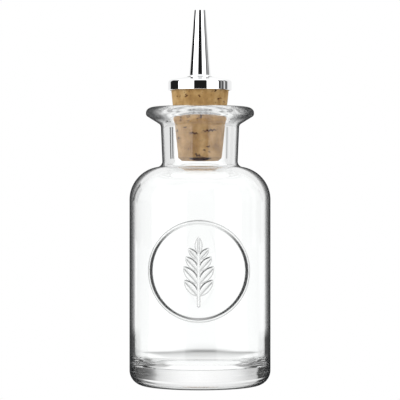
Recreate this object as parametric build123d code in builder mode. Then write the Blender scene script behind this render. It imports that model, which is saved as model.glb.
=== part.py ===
from build123d import *
from math import acos, cos, degrees, radians, sin, tan
import os

# A dasher bottle for bitters: a moulded glass bottle, and a cork stopper that carries a chrome spout.
# Lengths are in millimetres and angles in degrees. The origin is the centre of the base on the table,
# +Z is up, and the emblem faces -Y.

# Glass bottle, outside
body_radius = 25.5
heel_radius = 5.4
shoulder_height = 67.0
shoulder_radius = 12.0
neck_foot_radius = 13.65
neck_length = 15.1
neck_draft = 0.55
neck_foot_fillet = 2.0
neck_top_fillet = 1.6
lip_overhang = 5.35
lip_flare_angle = 32.0
lip_lower_fillet = 1.2
lip_band_height = 1.05
lip_crown_width = 2.8
lip_crown_height = 2.0

# Glass bottle, base and inside
bearing_ring_width = 1.3
base_hollow_height = 2.2
floor_height = 7.0
inner_heel_radius = 4.6
body_wall = 2.0
shoulder_wall = 1.8
mouth_radius = 9.25
mouth_flare_depth = 6.0
lip_flat_width = 0.55
bore_draft = 0.1
bore_foot_width = 3.0
bore_foot_rise = 5.8

# Raised emblem on the front: a plain ring with a herb sprig inside it
emblem_drop = 25.0
emblem_radius = 17.4
emblem_band_width = 1.2
relief_height = 0.4
relief_root_depth = 0.6
sprig_length = 24.0
stem_width = 0.9
leaf_angle = 42.0
leaf_foot_shares = (0.14, 0.32, 0.50, 0.67)
leaf_length_shares = (0.31, 0.33, 0.28, 0.22)
top_leaf_share = 0.25
leaf_width_share = 0.40

# Cork
cork_inserted_length = 18.1
cork_showing_length = 6.0
cork_capped_length = 1.6
cork_taper_angle = 5.9
cork_seat_clearance = 0.08
cork_end_fillet = 0.3

# Spout, turned from bar
spout_tip_radius = 2.1
spout_length = 24.1
spout_tip_rounding = 0.2
orifice_radius = 1.1
channel_radius = 2.3
spigot_wall = 0.6
spigot_length = 2.3
spout_base_step = 1.0
foot_flare = 1.0
foot_edge = 0.1
foot_fillet = 0.8

# Shank tube and washer
shank_depth = 18.0
shank_wall = 0.53
barb_height = 0.455
barb_count = 5
barb_run_share = 0.83
boss_wall = 1.28
flange_width = 2.8
flange_thickness = 0.8
washer_setback = 0.7
washer_thickness = 0.8

# Cap, pressed from sheet
cap_wall = 0.5
cap_clearance = 0.44
cap_headroom = 1.25
cap_edge_fillet = 1.0
crown_angle = 10.6

# Gap left between pieces of the stopper that are brazed, glued or pressed together
assembly_gap = 0.02

# Heights and places in the glass that follow from the sizes above
shoulder_centre = body_radius - shoulder_radius
inner_radius = body_radius - body_wall
bearing_outer_radius = body_radius - heel_radius
bearing_inner_radius = bearing_outer_radius - bearing_ring_width
neck_angle = degrees(acos((neck_foot_radius - shoulder_centre) / shoulder_radius))
neck_foot_height = shoulder_height + shoulder_radius * sin(radians(neck_angle))
neck_top_height = neck_foot_height + neck_length
neck_top_radius = neck_foot_radius + neck_draft
lip_radius = neck_top_radius + lip_overhang
lip_lower_height = neck_top_height + lip_overhang * tan(radians(lip_flare_angle))
lip_edge_height = lip_lower_height + lip_band_height
glass_height = lip_edge_height + lip_crown_height
mouth_flare_width = lip_radius - lip_crown_width - lip_flat_width - mouth_radius
seat_height = glass_height - mouth_flare_depth
bore_foot_radius = mouth_radius - bore_draft
inner_shoulder_top = shoulder_height + shoulder_radius - shoulder_wall
inner_shoulder_centre = bore_foot_radius + bore_foot_width
inner_shoulder_radius = inner_radius - inner_shoulder_centre
inner_shoulder_height = inner_shoulder_top - inner_shoulder_radius
emblem_height = shoulder_height - emblem_drop

# Heights and radii in the stopper, from the mouth outwards and from the spout's channel outwards
cork_slope = tan(radians(cork_taper_angle))
cork_foot_height = glass_height - cork_inserted_length
cap_rim_height = glass_height + cork_showing_length
cork_top_height = cap_rim_height + cork_capped_length
washer_top_height = cork_top_height + washer_thickness
flange_top_height = washer_top_height + flange_thickness
crown_edge_height = washer_top_height + cap_headroom
crown_slope = tan(radians(crown_angle))
spigot_radius = channel_radius + spigot_wall
spout_base_radius = spigot_radius + spout_base_step
foot_radius = spout_base_radius + foot_flare
socket_radius = spigot_radius + assembly_gap
shank_root_radius = socket_radius + shank_wall
barb_radius = shank_root_radius + barb_height
cork_bore_radius = barb_radius + assembly_gap
boss_radius = socket_radius + boss_wall
flange_radius = boss_radius + flange_width


def cork_radius(height):
    """The cork touches the mouth, less its clearance, where the mouth's flare begins."""
    return mouth_radius - cork_seat_clearance + (height - seat_height) * cork_slope


cork_top_radius = cork_radius(cork_top_height)
washer_radius = cork_top_radius - washer_setback
cap_inner_radius = cork_top_radius + cap_clearance
cap_radius = cap_inner_radius + cap_wall


def crown_height(radius):
    """Height of the outside of the cap's low cone."""
    return crown_edge_height + (cap_radius - radius) * crown_slope


def corner(radius, height):
    """The corner of the open profile sketch that is nearest to a place."""
    return vertices().sort_by_distance(Vector(radius, height))[0]


spout_foot_height = crown_height(spout_base_radius)
spout_tip_height = spout_foot_height + spout_length
spigot_foot_height = crown_height(spigot_radius) - spigot_length
boss_top_height = crown_height(boss_radius) - cap_wall - assembly_gap
shank_foot_height = cork_top_height - shank_depth


# Emblem, as wide as it looks from straight in front, wrapped on the round of the body
with BuildPart() as emblem:
    with BuildSketch(Plane.XZ) as emblem_face:
        with Locations((0, emblem_height)):
            Circle(emblem_radius)
            Circle(emblem_radius - emblem_band_width, mode=Mode.SUBTRACT)
        stem_foot = Vector(0, emblem_height - sprig_length / 2)
        top_leaf_length = sprig_length * top_leaf_share
        stem_length = sprig_length - top_leaf_length
        with Locations(stem_foot):
            Rectangle(stem_width, stem_length + stem_width, align=(Align.CENTER, Align.MIN))
        leaves = [(1 - top_leaf_share, top_leaf_share, 0)]
        for foot_share, length_share in zip(leaf_foot_shares, leaf_length_shares):
            leaves.append((foot_share, length_share, leaf_angle))
            leaves.append((foot_share, length_share, -leaf_angle))
        for foot_share, length_share, angle in leaves:
            length = sprig_length * length_share
            along = Vector(sin(radians(angle)), cos(radians(angle))) * length
            across = Vector(along.Y, -along.X) * leaf_width_share / 2
            foot = stem_foot + Vector(0, sprig_length * foot_share)
            with BuildLine():
                ThreePointArc(foot, foot + along / 2 + across, foot + along)
                ThreePointArc(foot + along, foot + along / 2 - across, foot)
            make_face()
    extrude(amount=body_radius + relief_height)
    with Locations((0, 0, emblem_height)):
        Cylinder(body_radius + relief_height, emblem_radius * 3, mode=Mode.INTERSECT)
        Cylinder(body_radius - relief_root_depth, emblem_radius * 3, mode=Mode.SUBTRACT)


# Glass bottle, turned from its half section
with BuildPart() as glass_bottle:
    with BuildSketch(Plane.XZ) as glass_section:
        with BuildLine():
            base_hollow = TangentArc(
                (0, base_hollow_height), (bearing_inner_radius, 0), tangent=(1, 0)
            )
            Line(base_hollow @ 1, (body_radius, 0))
            Line((body_radius, 0), (body_radius, shoulder_height))
            shoulder = CenterArc((shoulder_centre, shoulder_height), shoulder_radius, 0, neck_angle)
            Polyline(
                shoulder @ 1,
                (neck_top_radius, neck_top_height),
                (lip_radius, lip_lower_height),
                (lip_radius, lip_edge_height),
            )
            lip_crown = EllipticalCenterArc(
                (lip_radius - lip_crown_width, lip_edge_height), lip_crown_width, lip_crown_height
            )
            mouth_flare = EllipticalCenterArc(
                (mouth_radius + mouth_flare_width, seat_height),
                mouth_flare_width,
                mouth_flare_depth,
                start_angle=90,
                arc_size=90,
            )
            Line(lip_crown @ 1, mouth_flare @ 0)
            bore_foot = EllipticalCenterArc(
                (inner_shoulder_centre, inner_shoulder_top + bore_foot_rise),
                bore_foot_width,
                bore_foot_rise,
                start_angle=180,
                arc_size=90,
            )
            Line(mouth_flare @ 1, bore_foot @ 0)
            inner_shoulder = CenterArc(
                (inner_shoulder_centre, inner_shoulder_height), inner_shoulder_radius, 0, 90
            )
            Polyline(
                inner_shoulder @ 0,
                (inner_radius, floor_height),
                (0, floor_height),
                (0, base_hollow_height),
            )
        make_face()
        fillet(corner(body_radius, 0), heel_radius)
        fillet(corner(neck_foot_radius, neck_foot_height), neck_foot_fillet)
        fillet(corner(neck_top_radius, neck_top_height), neck_top_fillet)
        fillet(corner(lip_radius, lip_lower_height), lip_lower_fillet)
        fillet(corner(inner_radius, floor_height), inner_heel_radius)
    revolve(axis=Axis.Z)
    add(emblem.part)


# Cork, tapered all the way, with the hole for the shank tube
with BuildPart() as cork_stopper:
    with BuildSketch(Plane.XZ):
        with BuildLine():
            Polyline(
                (cork_bore_radius, cork_foot_height),
                (cork_radius(cork_foot_height), cork_foot_height),
                (cork_top_radius, cork_top_height),
                (cork_bore_radius, cork_top_height),
                close=True,
            )
        make_face()
        fillet(corner(cork_radius(cork_foot_height), cork_foot_height), cork_end_fillet)
    revolve(axis=Axis.Z)


# Cap: a short skirt and a low cone, of one sheet thickness, with a hole for the spout's spigot
with BuildPart() as cap:
    cap_hole_radius = spigot_radius + assembly_gap
    with BuildSketch(Plane.XZ):
        with BuildLine():
            Polyline(
                (cap_radius, cap_rim_height),
                (cap_radius, crown_edge_height),
                (cap_hole_radius, crown_height(cap_hole_radius)),
                (cap_hole_radius, crown_height(cap_hole_radius) - cap_wall),
                (cap_inner_radius, crown_height(cap_inner_radius) - cap_wall),
                (cap_inner_radius, cap_rim_height),
                close=True,
            )
        make_face()
        fillet(corner(cap_radius, crown_edge_height), cap_edge_fillet)
        fillet(
            corner(cap_inner_radius, crown_height(cap_inner_radius) - cap_wall),
            cap_edge_fillet - cap_wall,
        )
    revolve(axis=Axis.Z)


# Spout: a hollow cone whose foot sits on the cap, and whose spigot passes through it
with BuildPart() as spout:
    foot_seat_height = crown_height(foot_radius) + assembly_gap
    with BuildSketch(Plane.XZ):
        with BuildLine():
            Polyline(
                (orifice_radius, spout_tip_height),
                (spout_tip_radius, spout_tip_height),
                (spout_base_radius, spout_foot_height + foot_edge),
                (foot_radius, foot_seat_height + foot_edge),
                (foot_radius, foot_seat_height),
                (spigot_radius, crown_height(spigot_radius) + assembly_gap),
                (spigot_radius, spigot_foot_height),
                (channel_radius, spigot_foot_height),
                close=True,
            )
        make_face()
        fillet(corner(spout_base_radius, spout_foot_height + foot_edge), foot_fillet)
        fillet(corner(spout_tip_radius, spout_tip_height), spout_tip_rounding)
    revolve(axis=Axis.Z)


# Shank tube: a socket for the spigot, a flange on the washer, and ribs that grip the cork
with BuildPart() as shank_tube:
    barb_pitch = shank_depth * barb_run_share / barb_count
    barb_places = [(shank_root_radius, shank_foot_height)]
    for place in range(barb_count):
        barb_top = shank_foot_height + barb_pitch * (place + 1)
        barb_places += [(barb_radius, barb_top), (shank_root_radius, barb_top)]
    with BuildSketch(Plane.XZ):
        with BuildLine():
            Polyline(
                (channel_radius, shank_foot_height),
                *barb_places,
                (shank_root_radius, washer_top_height),
                (flange_radius, washer_top_height),
                (flange_radius, flange_top_height),
                (boss_radius, flange_top_height),
                (boss_radius, boss_top_height),
                (socket_radius, boss_top_height),
                (socket_radius, spigot_foot_height - assembly_gap),
                (channel_radius, spigot_foot_height - assembly_gap),
                close=True,
            )
        make_face()
    revolve(axis=Axis.Z)


# Sealing washer, flat between the cork and the flange
with BuildPart() as sealing_washer:
    with BuildSketch(Plane.XY.offset(cork_top_height)):
        Circle(washer_radius)
        Circle(cork_bore_radius, mode=Mode.SUBTRACT)
    extrude(amount=washer_thickness)


os.makedirs("parts", exist_ok=True)
glass_bottle.part.label = "glass_bottle"
export_step(glass_bottle.part, "parts/glass_bottle.step")
cork_stopper.part.label = "cork_stopper"
export_step(cork_stopper.part, "parts/cork_stopper.step")
cap.part.label = "cap"
export_step(cap.part, "parts/cap.step")
spout.part.label = "spout"
export_step(spout.part, "parts/spout.step")
shank_tube.part.label = "shank_tube"
export_step(shank_tube.part, "parts/shank_tube.step")
sealing_washer.part.label = "sealing_washer"
export_step(sealing_washer.part, "parts/sealing_washer.step")
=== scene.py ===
import math

import bmesh
import bpy
import numpy as np
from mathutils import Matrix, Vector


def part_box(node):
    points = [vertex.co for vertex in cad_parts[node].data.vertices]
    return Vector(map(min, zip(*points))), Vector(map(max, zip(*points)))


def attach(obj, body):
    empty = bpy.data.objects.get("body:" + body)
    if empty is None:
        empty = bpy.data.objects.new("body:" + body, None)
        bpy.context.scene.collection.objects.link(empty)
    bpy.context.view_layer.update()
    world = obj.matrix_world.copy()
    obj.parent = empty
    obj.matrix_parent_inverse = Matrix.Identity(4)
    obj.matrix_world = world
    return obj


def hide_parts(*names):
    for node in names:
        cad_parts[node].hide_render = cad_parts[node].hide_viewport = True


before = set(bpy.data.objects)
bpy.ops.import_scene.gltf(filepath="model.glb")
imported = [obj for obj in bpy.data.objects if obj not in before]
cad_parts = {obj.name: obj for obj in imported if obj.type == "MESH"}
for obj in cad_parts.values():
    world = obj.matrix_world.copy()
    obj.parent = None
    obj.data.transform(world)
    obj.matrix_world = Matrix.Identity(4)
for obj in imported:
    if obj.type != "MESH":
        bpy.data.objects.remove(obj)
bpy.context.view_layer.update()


# Glass bottle
# Clear glass, blown in a mould and fire polished: a thick base with a shallow hollow, a round heel and
# shoulder, and a short neck whose lip was flared while it was hot. The emblem is part of the mould: a
# ring with a herb sprig inside it, raised on the front.
mm = 0.001

body_radius = 25.5 * mm
heel_radius = 5.4 * mm
shoulder_height = 67.0 * mm
shoulder_radius = 12.0 * mm
neck_foot_radius = 13.65 * mm
neck_foot_fillet = 2.0 * mm
neck_top_radius = 14.2 * mm
neck_top_height = 94.1 * mm
neck_top_fillet = 1.6 * mm
lip_radius = 19.55 * mm
lip_lower_height = 97.44 * mm
lip_lower_fillet = 1.2 * mm
lip_edge_height = 98.49 * mm
lip_crown_width = 2.8 * mm
glass_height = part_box("glass_bottle")[1].z

bearing_outer_radius = body_radius - heel_radius
bearing_width = 1.3 * mm
bearing_inner_radius = bearing_outer_radius - bearing_width
base_hollow_height = 2.2 * mm
floor_height = 7.0 * mm
inner_heel_radius = 4.6 * mm
wall = 2.0 * mm
shoulder_wall = 1.8 * mm
mouth_radius = 9.25 * mm
mouth_flare_depth = 6.0 * mm
lip_flat_width = 0.55 * mm
bore_foot_radius = 9.15 * mm
bore_foot_width = 3.0 * mm
bore_foot_rise = 5.8 * mm
ripple_depth = 0.05 * mm

# Each wave of the ripple: how fast it goes round, how fast it goes up, and where it starts.
ripple_waves = ((3, 9, 0.7), (5, -14, 2.1), (2, 31, 4.0))

emblem_height = 42.0 * mm
emblem_radius = 17.4 * mm
emblem_band_width = 1.2 * mm
emblem_margin = 0.6 * mm
relief_height = 0.4 * mm
inner_flank = 1.0 * mm
outer_flank = 0.6 * mm
leaf_flank = 0.5 * mm
sprig_length = 24.0 * mm
stem_width = 0.9 * mm
leaf_angle = math.radians(42.0)
leaf_foot_shares = (0.14, 0.32, 0.50, 0.67)
leaf_length_shares = (0.31, 0.33, 0.28, 0.22)
top_leaf_share = 0.25
leaf_width_share = 0.40
leaf_crease_depth = 0.45
leaf_crease_width = 0.3 * mm

# The painted shade on the emblem's flanks: on those that face its upright centre line, and what is added
# further out; the share of those that face down; on every steep flank; and the darkest of all.
inward_shade = 0.6
outer_shade_gain = 1.9
downward_share = 0.35
steep_shade = 0.4
darkest_flank = 0.95

relief_step = 0.2 * mm
plain_step = 2.5 * mm
plain_turn_step = math.radians(2.5)
corner_lead_share = 0.2
same_point = 1e-7
same_wall = 1e-6


def arc(centre, radius, start, end, steps):
    """Points of a profile on an arc, from one angle to another in degrees. Two radii give an ellipse."""
    along, up = radius if isinstance(radius, tuple) else (radius, radius)
    turn = np.radians(np.linspace(start, end, steps + 1))
    return np.column_stack([centre[0] + along * np.cos(turn), centre[1] + up * np.sin(turn)])


def straight(start, end, step):
    """Points of a profile on a straight line, about a step apart."""
    start, end = np.array(start), np.array(end)
    parts = max(1, math.ceil(np.linalg.norm(end - start) / step))
    return start + (end - start) * np.linspace(0, 1, parts + 1)[:, None]


def rounded(before, corner, after, radius, steps):
    """Points of a profile round a corner, on the arc that touches the lines on both sides of it, with one
    more on each line close by, so that the flats beside it shade flat."""
    before, corner, after = (np.array(p, float) for p in (before, corner, after))
    back = (before - corner) / np.linalg.norm(before - corner)
    ahead = (after - corner) / np.linalg.norm(after - corner)
    half = math.acos(np.clip(back @ ahead, -1, 1)) / 2
    centre = corner + (back + ahead) / np.linalg.norm(back + ahead) * radius / math.sin(half)
    first = corner + back * radius / math.tan(half) - centre
    last = corner + ahead * radius / math.tan(half) - centre
    turn = np.linspace(0, 1, steps + 1)[:, None] * (math.pi - 2 * half)
    sine = math.sin(math.pi - 2 * half)
    bend = (np.sin(math.pi - 2 * half - turn) * first + np.sin(turn) * last) / sine
    lead = corner_lead_share * radius
    return np.vstack([centre + first + back * lead, centre + bend, centre + last + ahead * lead])


def profile(*stretches):
    """Stretches of points joined into one line, without the points that two stretches share."""
    points = np.vstack(stretches)
    far = np.linalg.norm(np.diff(points, axis=0), axis=1) > same_point
    return points[np.concatenate([[True], far])]


def turned(name, radii, heights, turn, loop):
    """A smooth mesh turned about the upright axis: a row for each profile point, a column for each angle
    from the front. A loop is a profile that closes on itself, and another starts and ends on the axis."""
    rows, columns = radii.shape
    points = np.stack([radii * np.sin(turn), -radii * np.cos(turn), heights], axis=-1)
    here = np.arange(rows * columns).reshape(rows, columns)
    above = np.roll(here, -1, axis=0)
    last = rows if loop else rows - 1
    faces = np.stack([here, np.roll(here, -1, axis=1), np.roll(above, -1, axis=1), above], axis=-1)
    mesh = bpy.data.meshes.new(name)
    mesh.from_pydata(points.reshape(-1, 3).tolist(), [], faces[:last].reshape(-1, 4).tolist())
    mesh.shade_smooth()
    piece = bpy.data.objects.new(name, mesh)
    bpy.context.scene.collection.objects.link(piece)
    return piece


def close_poles(piece):
    """Joins the points of a turned mesh that lie together on the axis."""
    work = bmesh.new()
    work.from_mesh(piece.data)
    bmesh.ops.remove_doubles(work, verts=work.verts, dist=same_point)
    work.to_mesh(piece.data)
    work.free()


def rise(distance, flank):
    """From 0 outside an outline to 1 a flank's width inside it; distance is positive inside."""
    share = np.clip(distance / flank, 0, 1)
    return share * share * (3 - 2 * share)


def ring_relief(across, up):
    """The emblem's plain ring."""
    away = np.hypot(across, up)
    inside = away - (emblem_radius - emblem_band_width)
    return rise(inside, inner_flank) * rise(emblem_radius + emblem_margin - away, outer_flank)


def leaf_relief(across, up, foot, length, angle):
    """A lens-shaped leaf with a crease along its middle, at an angle from upright."""
    along = (across - foot[0]) * math.sin(angle) + (up - foot[1]) * math.cos(angle) - length / 2
    side = (across - foot[0]) * math.cos(angle) - (up - foot[1]) * math.sin(angle)
    half_width = length * leaf_width_share / 2
    bow = ((length / 2) ** 2 + half_width**2) / (2 * half_width)
    inside = bow - np.hypot(along, np.abs(side) + bow - half_width)
    crease = 1 - leaf_crease_depth * np.exp(-((side / leaf_crease_width) ** 2))
    return rise(inside + leaf_flank / 2, leaf_flank) * crease


def sprig_relief(across, up):
    """The herb sprig: a stem with four pairs of leaves and one at its top."""
    foot = -sprig_length / 2
    tip = foot + sprig_length * (1 - top_leaf_share)
    stem_way = np.hypot(across, up - np.clip(up, foot, tip))
    height = rise(stem_width / 2 + leaf_flank / 2 - stem_way, leaf_flank)
    leaves = [(1 - top_leaf_share, top_leaf_share, 0.0)]
    for foot_share, length_share in zip(leaf_foot_shares, leaf_length_shares):
        leaves += [(foot_share, length_share, side * leaf_angle) for side in (-1, 1)]
    for foot_share, length_share, angle in leaves:
        leaf_foot = (0.0, foot + sprig_length * foot_share)
        leaf = leaf_relief(across, up, leaf_foot, sprig_length * length_share, angle)
        height = np.maximum(height, leaf)
    return height


def emblem_relief(across, up):
    """The whole emblem, from 0 on the plain wall to 1 on its faces."""
    return np.maximum(ring_relief(across, up), sprig_relief(across, up))


def painted_flank_darkness(across, up):
    """The painted shade on the emblem's flanks: darkest on those that face its upright centre line, less on
    those that face down, and some on every steep flank."""
    step = relief_step / 2
    sideways = (emblem_relief(across + step, up) - emblem_relief(across - step, up)) / (2 * step)
    upwards = (emblem_relief(across, up + step) - emblem_relief(across, up - step)) / (2 * step)
    out_share = np.clip(np.abs(across) / emblem_radius, 0, 1)
    inwards = np.clip((sideways * np.sign(across) - downward_share * upwards) * relief_height, 0, 1)
    steep = np.clip(np.hypot(sideways, upwards) * relief_height, 0, 1)
    shade = inwards * (inward_shade + outer_shade_gain * out_share) + steep_shade * steep
    return np.clip(shade, 0, darkest_flank)


def ripple(turn, heights):
    """The slow unevenness of blown glass on the inside, from -1 to 1."""
    rise_share = heights / glass_height
    waves = [np.sin(around * turn + upwards * rise_share + start) for around, upwards, start in ripple_waves]
    return sum(waves) / len(waves)


shoulder_centre = body_radius - shoulder_radius
lip_crown_height = glass_height - lip_edge_height
hollow_radius = (bearing_inner_radius**2 + base_hollow_height**2) / (2 * base_hollow_height)
hollow_turn = math.degrees(math.asin(bearing_inner_radius / hollow_radius))
emblem_foot = emblem_height - emblem_radius - 2 * emblem_margin
emblem_top = emblem_height + emblem_radius + 2 * emblem_margin
root_across = neck_foot_radius + neck_foot_fillet - shoulder_centre
root_up = math.sqrt((shoulder_radius + neck_foot_fillet) ** 2 - root_across**2)
root_turn = math.degrees(math.atan2(root_up, root_across))
root = (shoulder_centre + root_across, shoulder_height + root_up)
inner_radius = body_radius - wall
neck_foot, neck_top = (neck_foot_radius, root[1]), (neck_top_radius, neck_top_height)
lip_lower, lip_edge = (lip_radius, lip_lower_height), (lip_radius, lip_edge_height)
crown_inner_radius = lip_radius - lip_crown_width
mouth_flare_width = crown_inner_radius - lip_flat_width - mouth_radius
mouth_flare = (mouth_flare_width, mouth_flare_depth)
mouth_centre = (mouth_radius + mouth_flare_width, glass_height - mouth_flare_depth)
inner_shoulder_top = shoulder_height + shoulder_radius - shoulder_wall
inner_shoulder_centre = bore_foot_radius + bore_foot_width
bore_foot_height = inner_shoulder_top + bore_foot_rise
inner_shoulder_radius = inner_radius - inner_shoulder_centre
inner_shoulder_height = inner_shoulder_top - inner_shoulder_radius
inner_heel_centre = inner_radius - inner_heel_radius
inner_heel_height = floor_height + inner_heel_radius

outer_skin = profile(
    arc((0, base_hollow_height - hollow_radius), hollow_radius, 90, 90 - hollow_turn, steps=12),
    straight((bearing_inner_radius, 0), (bearing_outer_radius, 0), mm),
    arc((bearing_outer_radius, heel_radius), heel_radius, -90, 0, steps=18),
    straight((body_radius, heel_radius), (body_radius, emblem_foot), plain_step),
    straight((body_radius, emblem_foot), (body_radius, emblem_top), relief_step),
    straight((body_radius, emblem_top), (body_radius, shoulder_height), plain_step),
    arc((shoulder_centre, shoulder_height), shoulder_radius, 0, root_turn, steps=28),
    arc(root, neck_foot_fillet, root_turn + 180, 180, steps=10),
    rounded(neck_foot, neck_top, lip_lower, neck_top_fillet, steps=12),
    rounded(neck_top, lip_lower, lip_edge, lip_lower_fillet, steps=12),
    arc((crown_inner_radius, lip_edge_height), (lip_crown_width, lip_crown_height), 0, 90, steps=14),
    straight((crown_inner_radius, glass_height), (mouth_radius + mouth_flare_width, glass_height), mm),
    arc(mouth_centre, mouth_flare, 90, 135, steps=14),
)
inner_skin = profile(
    arc(mouth_centre, mouth_flare, 135, 180, steps=14),
    straight((mouth_radius, mouth_centre[1]), (bore_foot_radius, bore_foot_height), plain_step),
    arc((inner_shoulder_centre, bore_foot_height), (bore_foot_width, bore_foot_rise), 180, 270, steps=24),
    arc((inner_shoulder_centre, inner_shoulder_height), inner_shoulder_radius, 90, 0, steps=28),
    straight((inner_radius, inner_shoulder_height), (inner_radius, inner_heel_height), plain_step),
    arc((inner_heel_centre, inner_heel_height), inner_heel_radius, 0, -90, steps=16),
    straight((inner_heel_centre, floor_height), (0, floor_height), plain_step),
)

emblem_turn = math.asin((emblem_radius + 2 * emblem_margin) / body_radius)
fine_turns = 2 * math.ceil(emblem_turn * body_radius / relief_step)
plain_turns = math.ceil((2 * math.pi - 2 * emblem_turn) / plain_turn_step)
glass_turn = np.concatenate([
    np.linspace(-emblem_turn, emblem_turn, fine_turns, endpoint=False),
    np.linspace(emblem_turn, 2 * math.pi - emblem_turn, plain_turns, endpoint=False),
])

glass_line = profile(outer_skin, inner_skin)
glass_radii = np.repeat(glass_line[:, :1], len(glass_turn), axis=1)
glass_heights = np.repeat(glass_line[:, 1:], len(glass_turn), axis=1)
on_wall = np.abs(glass_line[:, 0] - body_radius) < same_wall
on_front = np.cos(glass_turn) > 0
emblem_across = body_radius * np.sin(glass_turn)[None, :] * np.ones_like(glass_heights)
emblem_up = glass_heights - emblem_height
emblem_face = on_wall[:, None] & on_front[None, :]
glass_radii = glass_radii + relief_height * emblem_relief(emblem_across, emblem_up) * emblem_face
# Painted shade on the emblem's flanks, kept on the mesh as its flank value.
painted_flank_shade = painted_flank_darkness(emblem_across, emblem_up) * emblem_face

inside = np.arange(len(glass_line)) >= len(outer_skin)
to_shoulder = shoulder_height - glass_line[:, 1]
to_floor = glass_line[:, 1] - inner_heel_height
settle = np.clip(np.minimum(to_shoulder, to_floor) / heel_radius, 0, 1) * inside
glass_radii -= ripple_depth * settle[:, None] * (1 + ripple(glass_turn[None, :], glass_heights)) / 2

bottle = turned("bottle", glass_radii, glass_heights, glass_turn, loop=False)
painted_flank_values = bottle.data.attributes.new("flank", "FLOAT", "POINT").data
painted_flank_values.foreach_set("value", painted_flank_shade.astype(np.float32).ravel())
inner_faces = np.repeat(np.arange(len(glass_line) - 1) >= len(outer_skin) - 1, len(glass_turn))
bottle.data.polygons.foreach_set("material_index", inner_faces.astype(np.int32))
close_poles(bottle)


def place(tree, kind, inputs=None, **settings):
    """A node with its settings. Each input gets a value, or a link from another node's output."""
    made = tree.nodes.new(kind)
    for name, value in settings.items():
        setattr(made, name, value)
    for name, value in (inputs or {}).items():
        if isinstance(value, bpy.types.NodeSocket):
            tree.links.new(value, made.inputs[name])
        else:
            made.inputs[name].default_value = value
    return made


def own_spot(tree):
    """The place on the piece, in its own measure."""
    return place(tree, "ShaderNodeTexCoord").outputs["Object"]


def part_of(tree, way, axis):
    """How far a place or a direction goes along one axis."""
    return place(tree, "ShaderNodeSeparateXYZ", {"Vector": way}).outputs[axis]


def maths(tree, kind, first, second):
    """A sum on two values."""
    return place(tree, "ShaderNodeMath", {0: first, 1: second}, operation=kind).outputs["Value"]


def picked(tree, choose, otherwise, chosen):
    """One of two values, by a choice from 0 to 1."""
    return place(tree, "ShaderNodeMix", {0: choose, 2: otherwise, 3: chosen}, data_type="FLOAT").outputs[0]


def vector_maths(tree, kind, inputs, result="Vector"):
    """A sum on places or directions."""
    return place(tree, "ShaderNodeVectorMath", inputs, operation=kind).outputs[result]


def spread(tree, value, low, high, least=0.0, most=1.0):
    """Goes from the least to the most while a value goes from low to high."""
    return place(tree, "ShaderNodeMapRange", {
        "Value": value, "From Min": low, "From Max": high, "To Min": least, "To Max": most}).outputs["Result"]


def noise(tree, spot, scale, detail, roughness=0.5):
    """Soft random patches, about a scale's number to the metre."""
    return place(tree, "ShaderNodeTexNoise", {
        "Vector": spot, "Scale": scale, "Detail": detail, "Roughness": roughness}).outputs["Fac"]


def ramped(tree, value, stops):
    """What a ramp gives for a value. Each stop is a place from 0 to 1 and a grey or a colour."""
    ramp = place(tree, "ShaderNodeValToRGB", {"Fac": value})
    elements = ramp.color_ramp.elements
    while len(elements) > 1:
        elements.remove(elements[-1])
    for number, (position, shade) in enumerate(stops):
        stop = elements[0] if number == 0 else elements.new(position)
        stop.position = position
        stop.color = (*shade, 1) if isinstance(shade, tuple) else (shade, shade, shade, 1)
    return ramp.outputs["Color"]


def bumped(tree, height, depth, strength=1.0):
    """The surface normal over small ups and downs."""
    return place(tree, "ShaderNodeBump", {
        "Height": height, "Distance": depth, "Strength": strength}).outputs["Normal"]


def mixed(tree, share, first, second):
    """One shader, and by a share another in its place."""
    return place(tree, "ShaderNodeMixShader", {0: share, 1: first, 2: second}).outputs["Shader"]


def start_material(name):
    """An empty material: its node tree, and the output that its shader goes to."""
    material = bpy.data.materials.new(name)
    material.use_nodes = True
    material.node_tree.nodes.clear()
    return material, material.node_tree, material.node_tree.nodes.new("ShaderNodeOutputMaterial")


def start_group(name, inputs, outputs):
    """An empty shader node group with named number and vector sockets, and its two ends."""
    tree = bpy.data.node_groups.new(name, "ShaderNodeTree")
    for title, kind, value in inputs:
        socket = tree.interface.new_socket(name=title, in_out="INPUT", socket_type=kind)
        if value is not None:
            socket.default_value = value
    for title, kind in outputs:
        tree.interface.new_socket(name=title, in_out="OUTPUT", socket_type=kind)
    return tree, tree.nodes.new("NodeGroupInput"), tree.nodes.new("NodeGroupOutput")


hairline_turn = (0.4, 0.9, 0.2)
hairline_stretch = (1.0, 14.0, 1.0)
hairline_scale = 260.0
hairline_from = 0.62
hairline_to = 0.72
worn_from = 0.35
worn_to = 1.2


def surface_wear():
    """Handling marks: patches and hairlines that roughen a polished surface, and its slight unevenness."""
    tree, given, out = start_group(
        "surface wear",
        [("Vector", "NodeSocketVector", None), ("Patch Size", "NodeSocketFloat", 90.0),
         ("Least Roughness", "NodeSocketFloat", 0.0), ("Most Roughness", "NodeSocketFloat", 0.05)],
        [("Roughness", "NodeSocketFloat"), ("Height", "NodeSocketFloat")],
    )
    patches = noise(tree, given.outputs["Vector"], given.outputs["Patch Size"], detail=4.0)
    stretched = place(tree, "ShaderNodeMapping", {
        "Vector": given.outputs["Vector"], "Rotation": hairline_turn, "Scale": hairline_stretch})
    hairlines = noise(tree, stretched.outputs["Vector"], hairline_scale, detail=2.0)
    lines = spread(tree, hairlines, hairline_from, hairline_to)
    worn = place(tree, "ShaderNodeMath", {0: patches, 1: lines, 2: patches}, operation="MULTIPLY_ADD")
    rough = spread(
        tree, worn.outputs["Value"], worn_from, worn_to,
        given.outputs["Least Roughness"], given.outputs["Most Roughness"])
    tree.links.new(rough, out.inputs["Roughness"])
    tree.links.new(patches, out.inputs["Height"])
    return tree


wear_group = surface_wear()
glass_ior = 1.5
glass_colour = (0.985, 0.992, 0.99, 1)
glass_patch_size = 60.0
glass_most_roughness = 0.012
outside_unevenness = 0.004 * mm
inside_unevenness = 0.008 * mm
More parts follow.
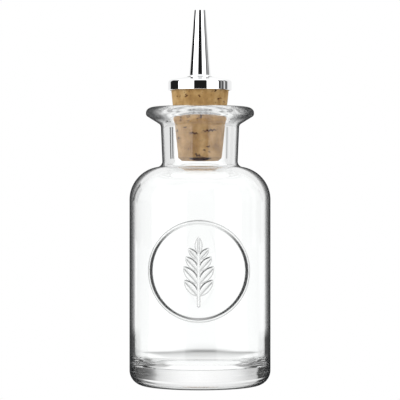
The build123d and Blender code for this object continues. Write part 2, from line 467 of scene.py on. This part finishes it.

# The painted shade at the glass's edge: by how steeply the glass is seen, how clear it still is. Higher up
# and on the lip the glass counts as seen more steeply.
# Colour of the painted shade: a dark shader mixed over the glass.
painted_rim_shade = (0.02, 0.021, 0.022, 1)
rim_clearness = (
    (0.05, 0.02), (0.184, 0.04), (0.248, 0.10), (0.298, 0.20), (0.34, 0.36), (0.377, 0.68), (0.41, 1.0),
)
lip_clearness = (
    (0.11, 0.05), (0.342, 0.09), (0.467, 0.11), (0.56, 0.28), (0.634, 0.56), (0.70, 0.88), (0.76, 0.99),
    (0.89, 0.90), (1.0, 0.74),
)
rim_lean = 0.5
rim_lean_from = 50 * mm
rim_lean_to = 60 * mm
lip_lean = 1.0
lip_dark_to = 96 * mm

# Light that stays caught in the glass ends in a painted glow of the glass itself, which is faint near the
# base.
caught_after = 14.5
base_glow = 0.04
base_glow_height = 12 * mm
body_glow = 0.85
body_glow_height = 25 * mm


def turned_out(tree, spot, share):
    """The surface normal, leaning away from the bottle's axis by a share."""
    level = vector_maths(tree, "MULTIPLY", {0: spot, 1: (1, 1, 0)})
    outwards = vector_maths(tree, "NORMALIZE", {0: level})
    lean = vector_maths(tree, "SCALE", {0: outwards, "Scale": share})
    normal = place(tree, "ShaderNodeNewGeometry").outputs["Normal"]
    return vector_maths(tree, "NORMALIZE", {0: vector_maths(tree, "ADD", {0: normal, 1: lean})})


def edge_darkness(tree, normal, clearness):
    """How much painted shade covers the edge of the glass, from how steeply it is seen."""
    facing = place(tree, "ShaderNodeLayerWeight", {"Blend": 0.5, "Normal": normal}).outputs["Facing"]
    return ramped(tree, facing, [(1 - turn, 1 - clear) for turn, clear in reversed(clearness)])


def glass_skin(name, unevenness, darkens):
    """Polished glass. On the outside a dark shader is painted over it where it is seen edge on and on the
    emblem's flanks, a painted shade like that of bright-ground glass; light caught in it meets a painted
    glow.
    """
    material, tree, out = start_material(name)
    spot = own_spot(tree)
    height = part_of(tree, spot, "Z")
    path = place(tree, "ShaderNodeLightPath").outputs
    wear = place(tree, "ShaderNodeGroup", {
        "Vector": spot, "Patch Size": glass_patch_size, "Most Roughness": glass_most_roughness},
        node_tree=wear_group).outputs
    surface = place(tree, "ShaderNodeBsdfPrincipled", {
        "Base Color": glass_colour, "IOR": glass_ior, "Transmission Weight": 1.0, "Metallic": 0.0,
        "Roughness": wear["Roughness"], "Normal": bumped(tree, wear["Height"], unevenness)}).outputs["BSDF"]
    if darkens:
        # Painted shade: a dark shader over the glass where the camera sees it edge on, and more on the lip.
        upper = spread(tree, height, rim_lean_from, rim_lean_to, most=rim_lean)
        on_lip = spread(tree, height, neck_top_height, lip_dark_to)
        rim = edge_darkness(tree, turned_out(tree, spot, upper), rim_clearness)
        lip = edge_darkness(tree, turned_out(tree, spot, lip_lean), lip_clearness)
        either = maths(tree, "MAXIMUM", rim, maths(tree, "MULTIPLY", lip, on_lip))
        edge_on = maths(tree, "MULTIPLY", either, path["Is Camera Ray"])
        # Painted shade on the emblem's flanks, from the mesh's flank value.
        flank = place(tree, "ShaderNodeAttribute", attribute_name="flank").outputs["Fac"]
        edge = place(tree, "ShaderNodeBsdfDiffuse", {"Color": painted_rim_shade}).outputs["BSDF"]
        surface = mixed(tree, maths(tree, "MAXIMUM", edge_on, flank), surface, edge)
    # Painted glow: a ray turned many times inside the glass meets it as a plain light.
    caught = maths(tree, "GREATER_THAN", path["Ray Depth"], caught_after)
    glow = spread(tree, height, base_glow_height, body_glow_height, base_glow, body_glow)
    lit = place(tree, "ShaderNodeEmission", {"Strength": glow}).outputs["Emission"]
    tree.links.new(mixed(tree, caught, surface, lit), out.inputs["Surface"])
    return material


bottle.data.materials.append(glass_skin("glass outside", outside_unevenness, darkens=True))
bottle.data.materials.append(glass_skin("glass inside", inside_unevenness, darkens=False))
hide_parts("glass_bottle")
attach(bottle, "bottle")


# Cork
# Natural cork, punched from bark and sanded to a taper, then bored for the shank tube. Its pores and
# short cracks run across it and are dark inside, and its faces are a little uneven.
cork_foot, cork_top = (corner.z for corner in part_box("cork_stopper"))
cork_top_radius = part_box("cork_stopper")[1].x
cork_slope = math.tan(math.radians(5.9))
cork_bore_radius = 3.925 * mm
cork_end_fillet = 0.1 * mm
cork_grain = 0.06 * mm
cork_step = 0.2 * mm

# Each mark: its angle from the front, how far it is below the cork's top, its length, width and depth,
# and its tilt. Angles are in degrees and lengths in millimetres.
cork_marks = (
    (4.0, 8.6, 1.9, 1.1, 0.45, 35),
    (34.0, 1.7, 2.2, 0.8, 0.40, 80),
    (-44.0, 3.9, 1.5, 0.35, 0.25, 85),
    (-29.0, 3.4, 0.9, 0.5, 0.25, 10),
    (43.0, 5.0, 1.3, 0.9, 0.25, 60),
    (-13.0, 7.6, 0.6, 0.4, 0.20, 0),
    (-38.0, 7.3, 0.7, 0.4, 0.20, 20),
    (-12.0, 17.3, 3.6, 0.7, 0.35, -8),
    (22.0, 16.3, 6.0, 0.8, 0.40, 6),
    (-55.0, 16.4, 1.5, 0.8, 0.25, 30),
    (-52.0, 19.0, 1.6, 0.7, 0.25, 20),
    (-2.0, 25.4, 4.0, 0.9, 0.30, -25),
    (14.0, 26.3, 2.6, 0.6, 0.30, -10),
)

# The smaller marks all round: how many, and the range of each of their values.
scattered_marks = 70
scattered_ranges = ((-180, 180), (0.5, 27), (0.4, 2.2), (0.3, 0.7), (0.1, 0.3), (-25, 25))
scattered_seed = 11

ragged_share = 0.25
ragged_waves = 5.1
pore_fill = 2.5
pit_fill = 2.0
cork_columns = 330
cork_grain_seed = 5
cork_side_reach = 0.5 * mm
cork_crisp_angle = math.radians(50)


def cork_radius(heights):
    """Radius of the cork's tapered side."""
    return cork_top_radius + (heights - cork_top) * cork_slope


def mark_share(turn, heights, angle, below_top, length, width, tilt):
    """1 in the middle of a pore or crack, falling to 0 at its ragged edge."""
    away = (turn - math.radians(angle) + math.pi) % (2 * math.pi) - math.pi
    across = away * cork_radius(heights) / mm
    up = (heights - cork_top) / mm + below_top
    lean = math.radians(tilt)
    along = across * math.cos(lean) + up * math.sin(lean)
    aside = up * math.cos(lean) - across * math.sin(lean)
    aside = aside + ragged_share * width * np.sin(along * ragged_waves + angle)
    return np.clip(1 - np.hypot(along / (length / 2), aside / (width / 2)), 0, 1)


def all_marks():
    """The marks that show on the front, and smaller ones all round."""
    chance = np.random.default_rng(scattered_seed)
    marks = list(cork_marks)
    for _ in range(scattered_marks):
        marks.append(tuple(chance.uniform(least, most) for least, most in scattered_ranges))
    return marks


cork_foot_radius = cork_radius(cork_foot)
side_foot, side_top = (cork_foot_radius, cork_foot), (cork_top_radius, cork_top)
bore_foot, bore_top = (cork_bore_radius, cork_foot), (cork_bore_radius, cork_top)
above_fillet = (cork_foot_radius + cork_end_fillet * cork_slope, cork_foot + cork_end_fillet)
cork_line = profile(
    straight(bore_foot, (cork_foot_radius - cork_end_fillet, cork_foot), 2 * cork_step),
    rounded((0, cork_foot), side_foot, side_top, cork_end_fillet, steps=6),
    straight(above_fillet, side_top, cork_step),
    straight(side_top, bore_top, mm),
    straight(bore_top, bore_foot, mm)[:-1],
)
cork_turn = np.linspace(-math.pi, math.pi, cork_columns, endpoint=False)
cork_radii = np.repeat(cork_line[:, :1], len(cork_turn), axis=1)
cork_heights = np.repeat(cork_line[:, 1:], len(cork_turn), axis=1)
on_side = (np.abs(cork_line[:, 0] - cork_radius(cork_line[:, 1])) < cork_side_reach)[:, None]
pit = np.zeros_like(cork_radii)
pit_depth = np.zeros_like(cork_radii)
for angle, below_top, length, width, depth, tilt in all_marks():
    share = mark_share(cork_turn[None, :], cork_heights, angle, below_top, length, width, tilt)
    pit = np.maximum(pit, np.clip(pore_fill * share, 0, 1))
    pit_depth = np.maximum(pit_depth, depth * mm * np.clip(pit_fill * share, 0, 1))
grain = np.random.default_rng(cork_grain_seed).random(cork_radii.shape)
grain = (grain + np.roll(grain, 1, 0) + np.roll(grain, 1, 1) + np.roll(grain, (1, 1), (0, 1))) / 4
cork_radii = cork_radii - np.where(on_side, pit_depth + cork_grain * (1 - grain), 0)

cork = turned("cork", cork_radii, cork_heights, cork_turn, loop=True)
cork.data.set_sharp_from_angle(angle=cork_crisp_angle)
pore_values = cork.data.attributes.new("pore", "FLOAT", "POINT").data
pore_values.foreach_set("value", np.where(on_side, pit, 0).astype(np.float32).ravel())

cork_light = (0.71, 0.45, 0.20)
cork_mid = (0.53, 0.30, 0.108)
cork_dark = (0.36, 0.19, 0.07)
# Dark colour of the pores and flecks, and painted shade in the bore.
pore_colour_and_bore_shade = (0.075, 0.022, 0.012)
# The part of the cork above the glass's top is tinted by this, so the part inside the neck keeps painted
# light: lighter and redder.
painted_neck_light_tint = (0.77, 0.82, 0.87)
painted_neck_light_from = glass_height - 1.5 * mm
painted_neck_light_to = glass_height + mm
cork_blotch_scale = 230.0
cork_growth_scale = 420.0
cork_growth_turn = (0.0, 0.1, 0.5)
cork_growth_stretch = (1, 1, 0.12)
cork_growth_share = 0.4
cork_cell_scale = 2600.0
cork_speck_scale = 1100.0
cork_fleck_from = 0.60
cork_fleck_to = 0.72
cork_fleck_most = 0.65
cork_cell_depth = 0.08 * mm


def tinted(tree, share, first, second, kind="MIX"):
    """One colour, and by a share another over it."""
    return place(tree, "ShaderNodeMix", {
        0: share, 6: first, 7: (*second, 1)}, data_type="RGBA", blend_type=kind).outputs[2]


def cork_material():
    """Mottled tan cork with a fine cell grain, faint upright growth bands and dark pores. The shade in its
    bore is painted dark, and it has painted light inside the neck: the part above the glass's top is tinted
    darker and less red."""
    material, tree, out = start_material("natural cork")
    spot = own_spot(tree)
    level = vector_maths(tree, "MULTIPLY", {0: spot, 1: (1, 1, 0)})
    off_axis = vector_maths(tree, "LENGTH", {0: level}, "Value")
    # Painted shade: the bore is coloured dark, as the shade inside the hole.
    shaded_bore = maths(tree, "LESS_THAN", off_axis, cork_bore_radius + cork_grain)
    blotches = noise(tree, spot, cork_blotch_scale, detail=5.0, roughness=0.6)
    banded = place(tree, "ShaderNodeMapping", {
        "Vector": spot, "Rotation": cork_growth_turn, "Scale": cork_growth_stretch}).outputs["Vector"]
    growth = noise(tree, banded, cork_growth_scale, detail=3.0)
    tone = picked(tree, cork_growth_share, blotches, growth)
    colour = ramped(tree, tone, [(0.34, cork_dark), (0.48, cork_mid), (0.62, cork_light)])
    # Painted light: below the glass's top the cork keeps its lighter colour, and above it is tinted darker.
    outside = spread(tree, part_of(tree, spot, "Z"), painted_neck_light_from, painted_neck_light_to)
    neck_light_painted = tinted(tree, outside, colour, painted_neck_light_tint, "MULTIPLY")
    specks = noise(tree, spot, cork_speck_scale, detail=3.0, roughness=0.7)
    fleck = spread(tree, specks, cork_fleck_from, cork_fleck_to, most=cork_fleck_most)
    pore = place(tree, "ShaderNodeAttribute", attribute_name="pore").outputs["Fac"]
    dark = maths(tree, "MAXIMUM", maths(tree, "MAXIMUM", fleck, pore), shaded_bore)
    cells = place(tree, "ShaderNodeTexVoronoi", {"Vector": spot, "Scale": cork_cell_scale})
    height = maths(tree, "SUBTRACT", specks, cells.outputs["Distance"])
    shader = place(tree, "ShaderNodeBsdfPrincipled", {
        "Base Color": tinted(tree, dark, neck_light_painted, pore_colour_and_bore_shade), "Roughness": 0.85, "Specular IOR Level": 0.08,
        "Normal": bumped(tree, height, cork_cell_depth, strength=0.6)})
    tree.links.new(shader.outputs["BSDF"], out.inputs["Surface"])
    return material


cork.data.materials.append(cork_material())
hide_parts("cork_stopper")
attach(cork, "stopper")


# Sealing washer and shank tube
# A thin soft washer lies on the cork's top, and a turned steel tube with ribs is pressed down through it
# into the cork's hole. Both are hidden once the stopper is made up, so the solids show as they are.
seal_dark = (0.55, 0.54, 0.50)
seal_light = (0.68, 0.67, 0.63)
seal_mottle_scale = 500.0
seal_mottle_depth = 0.03 * mm
steel_colour = (0.48, 0.47, 0.46, 1)
lathe_ring_scale = 900.0
lathe_ring_depth = 0.01 * mm


def washer_material():
    """Soft white seal, slightly mottled and dusty."""
    material, tree, out = start_material("soft seal")
    mottle = noise(tree, own_spot(tree), seal_mottle_scale, detail=4.0)
    shader = place(tree, "ShaderNodeBsdfPrincipled", {
        "Base Color": ramped(tree, mottle, [(0.35, seal_dark), (0.65, seal_light)]), "Roughness": 0.6,
        "Normal": bumped(tree, mottle, seal_mottle_depth)})
    tree.links.new(shader.outputs["BSDF"], out.inputs["Surface"])
    return material


def turned_steel():
    """Plain steel with the fine rings of the lathe."""
    material, tree, out = start_material("turned steel")
    spot = own_spot(tree)
    rings = place(tree, "ShaderNodeTexWave", {
        "Vector": spot, "Scale": lathe_ring_scale, "Distortion": 0.6, "Detail": 2.0}, bands_direction="Z")
    wear = place(tree, "ShaderNodeGroup", {
        "Vector": spot, "Least Roughness": 0.25, "Most Roughness": 0.5}, node_tree=wear_group)
    shader = place(tree, "ShaderNodeBsdfPrincipled", {
        "Base Color": steel_colour, "Metallic": 1.0, "Roughness": wear.outputs["Roughness"],
        "Normal": bumped(tree, rings.outputs["Fac"], lathe_ring_depth)})
    tree.links.new(shader.outputs["BSDF"], out.inputs["Surface"])
    return material


for node, material in (("sealing_washer", washer_material()), ("shank_tube", turned_steel())):
    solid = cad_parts[node]
    solid.data.materials.clear()
    solid.data.materials.append(material)


# Cap
# Thin sheet pressed into a short skirt and a low cone, chrome plated, that hides the top of the cork. Its
# edges are rolled over a small radius, and the spout's spigot passes through the hole in its middle.
cap_rim_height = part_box("cap")[0].z
cap_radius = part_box("cap")[1].x
cap_wall = 0.5 * mm
cap_edge_fillet = 1.0 * mm
crown_edge_height = 110.14 * mm
crown_slope = math.tan(math.radians(10.6))
cap_hole_radius = 2.92 * mm
cap_rim_rounding = 0.2 * mm
metal_columns = 240
metal_crisp_angle = math.radians(35)
chrome_colour = (0.93, 0.935, 0.94, 1)
chrome_patch_size = 300.0
chrome_most_roughness = 0.03
chrome_unevenness = 0.001 * mm


def crown_height(radius):
    """Height of the outside of the cap's low cone."""
    return crown_edge_height + (cap_radius - radius) * crown_slope


cap_inner_radius = cap_radius - cap_wall
rim_outer, rim_inner = (cap_radius, cap_rim_height), (cap_inner_radius, cap_rim_height)
crown_outer = (cap_radius, crown_edge_height)
crown_inner = (cap_inner_radius, crown_height(cap_inner_radius) - cap_wall)
hole_top = (cap_hole_radius, crown_height(cap_hole_radius))
hole_foot = (cap_hole_radius, crown_height(cap_hole_radius) - cap_wall)
cap_line = profile(
    rounded(rim_inner, rim_outer, crown_outer, cap_rim_rounding, steps=5),
    rounded(rim_outer, crown_outer, hole_top, cap_edge_fillet, steps=14),
    straight(hole_top, hole_foot, cap_wall),
    rounded(hole_foot, crown_inner, rim_inner, cap_edge_fillet - cap_wall, steps=8),
    rounded(crown_inner, rim_inner, rim_outer, cap_rim_rounding, steps=5),
)
metal_turn = np.linspace(-math.pi, math.pi, metal_columns, endpoint=False)


def turned_metal(name, line):
    """A closed profile turned all round, with crisp corners where it has them."""
    radii = np.repeat(line[:, :1], len(metal_turn), axis=1)
    heights = np.repeat(line[:, 1:], len(metal_turn), axis=1)
    piece = turned(name, radii, heights, metal_turn, loop=True)
    piece.data.set_sharp_from_angle(angle=metal_crisp_angle)
    return piece


def chrome():
    """Mirror chrome with faint handling marks."""
    material, tree, out = start_material("polished chrome")
    wear = place(tree, "ShaderNodeGroup", {
        "Vector": own_spot(tree), "Patch Size": chrome_patch_size, "Most Roughness": chrome_most_roughness},
        node_tree=wear_group).outputs
    shader = place(tree, "ShaderNodeBsdfPrincipled", {
        "Base Color": chrome_colour, "Metallic": 1.0, "Roughness": wear["Roughness"],
        "Normal": bumped(tree, wear["Height"], chrome_unevenness)})
    tree.links.new(shader.outputs["BSDF"], out.inputs["Surface"])
    return material


chrome_plate = chrome()
cap = turned_metal("cap_plate", cap_line)
cap.data.materials.append(chrome_plate)
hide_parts("cap")
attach(cap, "stopper")


# Spout
# A slim cone turned from bar, chrome plated, with a small outlet at its tip and a flared foot that stands
# on the cap. Its spigot goes down through the cap into the shank tube, where it is soldered.
spout_tip_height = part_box("spout")[1].z
spigot_foot_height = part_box("spout")[0].z
spout_tip_radius = 2.1 * mm
spout_base_radius = 3.9 * mm
spout_foot_height = crown_height(spout_base_radius)
orifice_radius = 1.1 * mm
channel_radius = 2.3 * mm
spigot_radius = 2.9 * mm
foot_radius = 4.9 * mm
foot_edge = 0.1 * mm
foot_fillet = 0.8 * mm
tip_rounding = 0.2 * mm
solder_gap = 0.02 * mm

tip_inner, tip_outer = (orifice_radius, spout_tip_height), (spout_tip_radius, spout_tip_height)
spout_base = (spout_base_radius, spout_foot_height + foot_edge)
foot_seat_height = crown_height(foot_radius) + solder_gap
foot_top = (foot_radius, foot_seat_height + foot_edge)
foot_bottom = (foot_radius, foot_seat_height)
spigot_top = (spigot_radius, crown_height(spigot_radius) + solder_gap)
spout_line = profile(
    [(channel_radius, spigot_foot_height), (spigot_radius, spigot_foot_height), spigot_top, foot_bottom],
    rounded(foot_bottom, foot_top, spout_base, foot_edge / 2, steps=4),
    rounded(foot_top, spout_base, tip_outer, foot_fillet, steps=10),
    rounded(spout_base, tip_outer, tip_inner, tip_rounding, steps=6),
    rounded(tip_outer, tip_inner, (channel_radius, spigot_foot_height), tip_rounding / 2, steps=4),
)
spout = turned_metal("spout_cone", spout_line)
spout.data.materials.append(chrome_plate)
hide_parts("spout")
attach(spout, "stopper")


# Studio
# A white sweep under and behind the bottle, a large soft light all round with dark gaps that draw the
# edges of the chrome and the glass, and a level camera with a long lens.
white = 1.0
black = (0, 0, 0, 1)
seen_through = 1.07
soft_light = 1.15
light_on_left = 1.7
light_on_right = 0.85
floor_size = 4.0
overhead_from = 0.45
overhead_to = 0.7

# Light through the hollow body has passed more than two skins of glass, and light through solid glass two.
walls_passed = 2.5

# Angles go round from the camera, and to its left they are negative.
seen_in_metal = (
    (-180, 0.80), (-134, 0.74), (-132, 0.012), (-84, 0.012), (-82, 2.2), (-22, 2.0), (-20, 0.012),
    (25, 0.012), (27, 1.7), (71, 1.5), (73, 0.05), (80, 0.06), (83, 0.25), (87, 0.3), (89, 0.05), (95, 0.07),
    (98, 0.6), (103, 0.7), (105, 0.1), (117, 0.12), (121, 0.75), (180, 0.85),
)
# What thick glass shows, as the base does: far away, on the floor near by, and as lines beside the cork.
seen_in_solid = (
    (-180, 0.95), (-155, 0.85), (-147, 0.6), (-137, 0.55), (-135, 0.03), (-98, 0.04), (-96, 1.0), (98, 1.0),
    (101, 0.03), (116, 0.03), (125, 0.04), (133, 0.06), (140, 0.11), (146, 0.14), (150, 0.22), (152.5, 0.33),
    (155, 0.6), (157.5, 0.7), (162, 0.8), (168, 0.9), (180, 0.95),
)
floor_in_solid = (
    (-180, 1.0), (-157, 0.9), (-150, 0.5), (-140, 0.3), (-134, 0.04), (-98, 0.08), (-60, 0.12), (-56, 0.4),
    (-50, 0.5), (-46, 0.12), (-35, 0.12), (-28, 0.9), (22, 1.0), (30, 0.4), (36, 0.8), (42, 0.7), (50, 0.1),
    (64, 0.1), (70, 0.4), (75, 0.1), (116, 0.08), (134, 0.12), (150, 0.2), (161, 0.25), (165, 1.0),
    (180, 1.0),
)
lines_in_solid = (
    (-180, 1.0), (-135, 1.0), (-133, 0.05), (-128, 0.05), (-126, 0.8), (-120, 0.8), (-118.5, 0.15),
    (-114, 0.15), (-112, 1.0), (112, 1.0), (114, 0.5), (119, 0.5), (121, 1.0), (180, 1.0),
)
solid_least_rise = 0.10
lines_least_rise = 0.02

# Painted shade on the floor behind the bottle, as its hollow body shows it, by the distance from the bottle:
# straight behind, and further out to the sides.
ring_behind = (
    (0, 1.0), (28, 0.92), (38, 0.75), (50, 0.62), (58, 0.54), (67, 0.34), (80, 0.26), (91, 0.38),
    (106, 0.55), (140, 0.8), (180, 0.95), (220, 1.0),
)
ring_beside = (
    (0, 1.0), (28, 0.92), (38, 0.75), (50, 0.5), (60, 0.38), (68, 0.5), (78, 0.75), (88, 0.88), (105, 0.95),
    (140, 1.0), (220, 1.0),
)
beside_from = 4 * mm
beside_to = 16 * mm
behind = ((-180, 1.0), (-157, 1.0), (-150, 0.0), (150, 0.0), (157, 1.0), (180, 1.0))

# Painted shade on the floor under the bottle, as its base shows it, by the distance to the left or the right
# of its middle.
under_base = (
    (-25, 0.05), (-19.5, 0.1), (-18, 0.5), (-14, 0.55), (-12, 1.0), (15, 1.0), (16.5, 0.4), (25, 0.15),
)
under_radius = 25 * mm
near_floor_radius = 150 * mm

# The floor as the chrome mirrors it from far away, and as the outside of the base mirrors it near by.
floor_in_metal = (
    (-180, 1.0), (-124, 1.0), (-121, 0.02), (-88, 0.02), (-84, 1.8), (-22, 1.8), (-20, 0.02), (25, 0.02),
    (27, 1.6), (78, 1.4), (82, 0.08), (110, 0.12), (116, 0.8), (180, 1.0),
)
floor_in_mirror = ((-180, 0.02), (-70, 0.02), (-60, 1.0), (60, 1.0), (70, 0.02), (180, 0.02))

# Light that was turned back inside the glass comes out greyer each time, and dark near the floor.
greyed = ((0, 1.0), (0.1, 0.80), (0.2, 0.70), (0.3, 0.7), (0.5, 0.8), (0.8, 0.8))
darkened = ((0, 1.0), (0.1, 0.9), (0.2, 0.6), (0.3, 0.25), (0.6, 0.15))

# A low dark card round the bottle, out of the picture, that only its thick glass shows.
card_in_solid = (
    (-180, 0.95), (-170, 0.85), (-160, 0.58), (-152.4, 0.55), (-150.8, 0.03), (-105, 0.04), (-100, 1.0),
    (100, 1.0), (106, 0.03), (133, 0.03), (142, 0.04), (149, 0.06), (153, 0.09), (157, 0.12),
    (159.7, 0.15), (162, 0.22), (164, 0.33), (166, 0.6), (167.6, 0.7), (170, 0.76), (173, 0.84),
    (176, 0.9), (180, 0.95),
)
card_radius = 80 * mm
card_sides = 72
card_height = 17 * mm
card_solid_height = 13 * mm

# A screen as high as the neck and higher, that only thick glass shows: thin dark lines, and above them
# plain light.
screen_foot = 74 * mm
screen_lines_top = 101 * mm
screen_height = 150 * mm
screen_fade_height = 2 * screen_height
plain = ((-180, 1.0), (180, 1.0))


def light_round(stops):
    """A shader group: the light that comes from a direction, by its angle round from the camera."""
    tree, given, out = start_group(
        "light round the bottle", [("Vector", "NodeSocketVector", None)], [("Light", "NodeSocketFloat")])
    way = given.outputs["Vector"]
    towards = maths(tree, "MULTIPLY", part_of(tree, way, "Y"), -1.0)
    turn = maths(tree, "ARCTAN2", part_of(tree, way, "X"), towards)
    share = spread(tree, turn, -math.pi, math.pi)
    light = ramped(tree, share, [((angle + 180) / 360, value) for angle, value in stops])
    tree.links.new(light, out.inputs["Light"])
    return tree


def light_in(tree, group, way):
    """The light that a group gives for a direction."""
    return place(tree, "ShaderNodeGroup", {"Vector": way}, node_tree=group).outputs["Light"]


def by_distance(tree, away, stops):
    """A value by a distance, from stops in millimetres."""
    first, last = stops[0][0], stops[-1][0]
    share = spread(tree, away, first * mm, last * mm)
    return ramped(tree, share, [((distance - first) / (last - first), value) for distance, value in stops])


def thin_glass(tree, path):
    """1 for light that has come through the walls and the space inside, 0 for light through solid glass."""
    return maths(tree, "GREATER_THAN", path["Transmission Depth"], walls_passed)


def turned_back(tree, path, stops):
    """How much is left of light that was turned back inside the glass, by the number of times over ten."""
    return ramped(tree, maths(tree, "MULTIPLY", path["Glossy Depth"], 0.1), stops)


def studio_world(metal_light, solid_light, line_light):
    """Light by direction: white behind, and dark and light uprights that only mirrors and glass show."""
    world = bpy.data.worlds.new("studio")
    world.use_nodes = True
    world.cycles.sampling_method = "NONE"
    tree = world.node_tree
    tree.nodes.clear()
    way = place(tree, "ShaderNodeTexCoord").outputs["Generated"]
    climb = part_of(tree, way, "Z")
    overhead = spread(tree, climb, overhead_from, overhead_to)
    path = place(tree, "ShaderNodeLightPath").outputs
    above_level = maths(tree, "GREATER_THAN", climb, lines_least_rise)
    above_lines = maths(tree, "GREATER_THAN", climb, solid_least_rise)
    low = picked(tree, above_level, 1.0, light_in(tree, line_light, way))
    in_solid = picked(tree, above_lines, low, light_in(tree, solid_light, way))
    in_glass = picked(tree, thin_glass(tree, path), picked(tree, overhead, in_solid, 1.0), 1.0)
    in_glass = maths(tree, "MULTIPLY", in_glass, turned_back(tree, path, greyed))
    in_glass = maths(tree, "MULTIPLY", in_glass, seen_through)
    in_metal = picked(tree, overhead, light_in(tree, metal_light, way), 1.0)
    in_metal = maths(tree, "MULTIPLY", in_metal, soft_light)
    light = picked(tree, path["Is Glossy Ray"], soft_light, in_metal)
    light = picked(tree, path["Is Transmission Ray"], light, in_glass)
    from_left = spread(tree, part_of(tree, way, "X"), -1.0, 1.0, light_on_left, light_on_right)
    light = picked(tree, path["Diffuse Depth"], light, from_left)
    light = picked(tree, path["Is Camera Ray"], light, white)
    background = place(tree, "ShaderNodeBackground", {"Color": light})
    place(tree, "ShaderNodeOutputWorld", {"Surface": background.outputs["Background"]})
    return world


def floor_material(solid_light, behind_light, mirror_light, metal_light):
    """Matt white board that glows, bright enough to run into the white behind it. Its light and shade are
    painted, and only the glass and the chrome show them."""
    material, tree, out = start_material("white board")
    spot = own_spot(tree)
    away = vector_maths(tree, "LENGTH", {0: spot}, "Value")
    aside = part_of(tree, spot, "X")
    path = place(tree, "ShaderNodeLightPath").outputs
    off_middle = maths(tree, "ABSOLUTE", aside, 0.0)
    beside = spread(tree, off_middle, beside_from, beside_to)
    ring = picked(tree, beside, by_distance(tree, away, ring_behind), by_distance(tree, away, ring_beside))
    in_walls = picked(tree, light_in(tree, behind_light, spot), 1.0, ring)
    is_near = maths(tree, "LESS_THAN", away, near_floor_radius)
    shade = maths(tree, "MULTIPLY", light_in(tree, solid_light, spot), turned_back(tree, path, darkened))
    in_solid = picked(tree, is_near, turned_back(tree, path, greyed), shade)
    is_under = maths(tree, "LESS_THAN", away, under_radius)
    under = by_distance(tree, aside, under_base)
    in_solid = picked(tree, is_under, in_solid, under)
    in_walls = picked(tree, is_under, in_walls, under)
    in_glass = maths(tree, "MULTIPLY", picked(tree, thin_glass(tree, path), in_solid, in_walls), seen_through)
    mirrored = picked(tree, is_near, light_in(tree, metal_light, spot), light_in(tree, mirror_light, spot))
    light = picked(tree, path["Is Glossy Ray"], white, mirrored)
    light = picked(tree, path["Is Transmission Ray"], light, in_glass)
    light = picked(tree, path["Diffuse Depth"], light, white)
    shader = place(tree, "ShaderNodeBsdfPrincipled", {
        "Base Color": black, "Roughness": 0.9, "Specular IOR Level": 0.0, "Emission Color": light,
        "Emission Strength": 1.0})
    tree.links.new(shader.outputs["BSDF"], out.inputs["Surface"])
    return material


def card_material(name, light, fade_from, fade_to, returned):
    """Matt card that shows a pattern to thick glass, fades at its top, and is not there for thin glass."""
    material, tree, out = start_material(name)
    spot = own_spot(tree)
    fade = spread(tree, part_of(tree, spot, "Z"), fade_from, fade_to)
    path = place(tree, "ShaderNodeLightPath").outputs
    clearness = maths(tree, "MAXIMUM", fade, thin_glass(tree, path))
    shade = maths(tree, "MULTIPLY", light_in(tree, light, spot), turned_back(tree, path, returned))
    glow = place(tree, "ShaderNodeEmission", {"Color": maths(tree, "MULTIPLY", shade, seen_through)})
    clear = place(tree, "ShaderNodeBsdfTransparent")
    shown = mixed(tree, clearness, glow.outputs["Emission"], clear.outputs["BSDF"])
    tree.links.new(shown, out.inputs["Surface"])
    return material


def stage_mesh(name, points, faces, material):
    """A mesh that belongs to the studio."""
    mesh = bpy.data.meshes.new(name)
    mesh.from_pydata(points, [], faces)
    mesh.materials.append(material)
    thing = bpy.data.objects.new(name, mesh)
    bpy.context.scene.collection.objects.link(thing)
    return thing


line_light = light_round(lines_in_solid)
bpy.context.scene.world = studio_world(light_round(seen_in_metal), light_round(seen_in_solid), line_light)
half = floor_size / 2
floor_corners = [(-half, -half, 0), (half, -half, 0), (half, half, 0), (-half, half, 0)]
floor_lights = [light_round(stops) for stops in (floor_in_solid, behind, floor_in_mirror, floor_in_metal)]
stage_mesh("floor", floor_corners, [(0, 1, 2, 3)], floor_material(*floor_lights))


def ring_card(name, foot, top, material):
    """A card that stands round the bottle, which only light through glass meets."""
    points = []
    faces = []
    for side in range(card_sides):
        turn = 2 * math.pi * side / card_sides
        x, y = card_radius * math.sin(turn), -card_radius * math.cos(turn)
        points += [(x, y, foot), (x, y, top)]
        here, after = 2 * side, 2 * ((side + 1) % card_sides)
        faces.append((here, after, after + 1, here + 1))
    card = stage_mesh(name, points, faces, material)
    card.visible_camera = False
    card.visible_diffuse = False
    card.visible_glossy = False
    card.visible_shadow = False


dark_card = card_material("dark card", light_round(card_in_solid), card_solid_height, card_height, darkened)
lined_card = card_material("lined screen", line_light, screen_height, screen_fade_height, greyed)
light_card = card_material("light screen", light_round(plain), screen_height, screen_fade_height, greyed)
ring_card("low dark card", 0, card_height, dark_card)
ring_card("lined screen", screen_foot, screen_lines_top, lined_card)
ring_card("light screen", screen_lines_top, screen_height, light_card)

camera_distance = 0.695
camera_height = 66.9 * mm
camera_turn = math.radians(1.1)
lens_mm = 172.8
camera_data = bpy.data.cameras.new("camera")
camera_data.lens = lens_mm
camera_data.sensor_width = 36.0
camera_data.clip_start = 0.01
camera = bpy.data.objects.new("camera", camera_data)
camera_x, camera_y = camera_distance * math.sin(camera_turn), -camera_distance * math.cos(camera_turn)
camera.location = (camera_x, camera_y, camera_height)
camera.rotation_euler = (math.pi / 2, 0, camera_turn)
bpy.context.scene.collection.objects.link(camera)
bpy.context.scene.camera = camera

scene = bpy.context.scene
scene.view_settings.view_transform = "Standard"
scene.cycles.max_bounces = 32
scene.cycles.transmission_bounces = 32
scene.cycles.glossy_bounces = 16
scene.cycles.transparent_max_bounces = 16
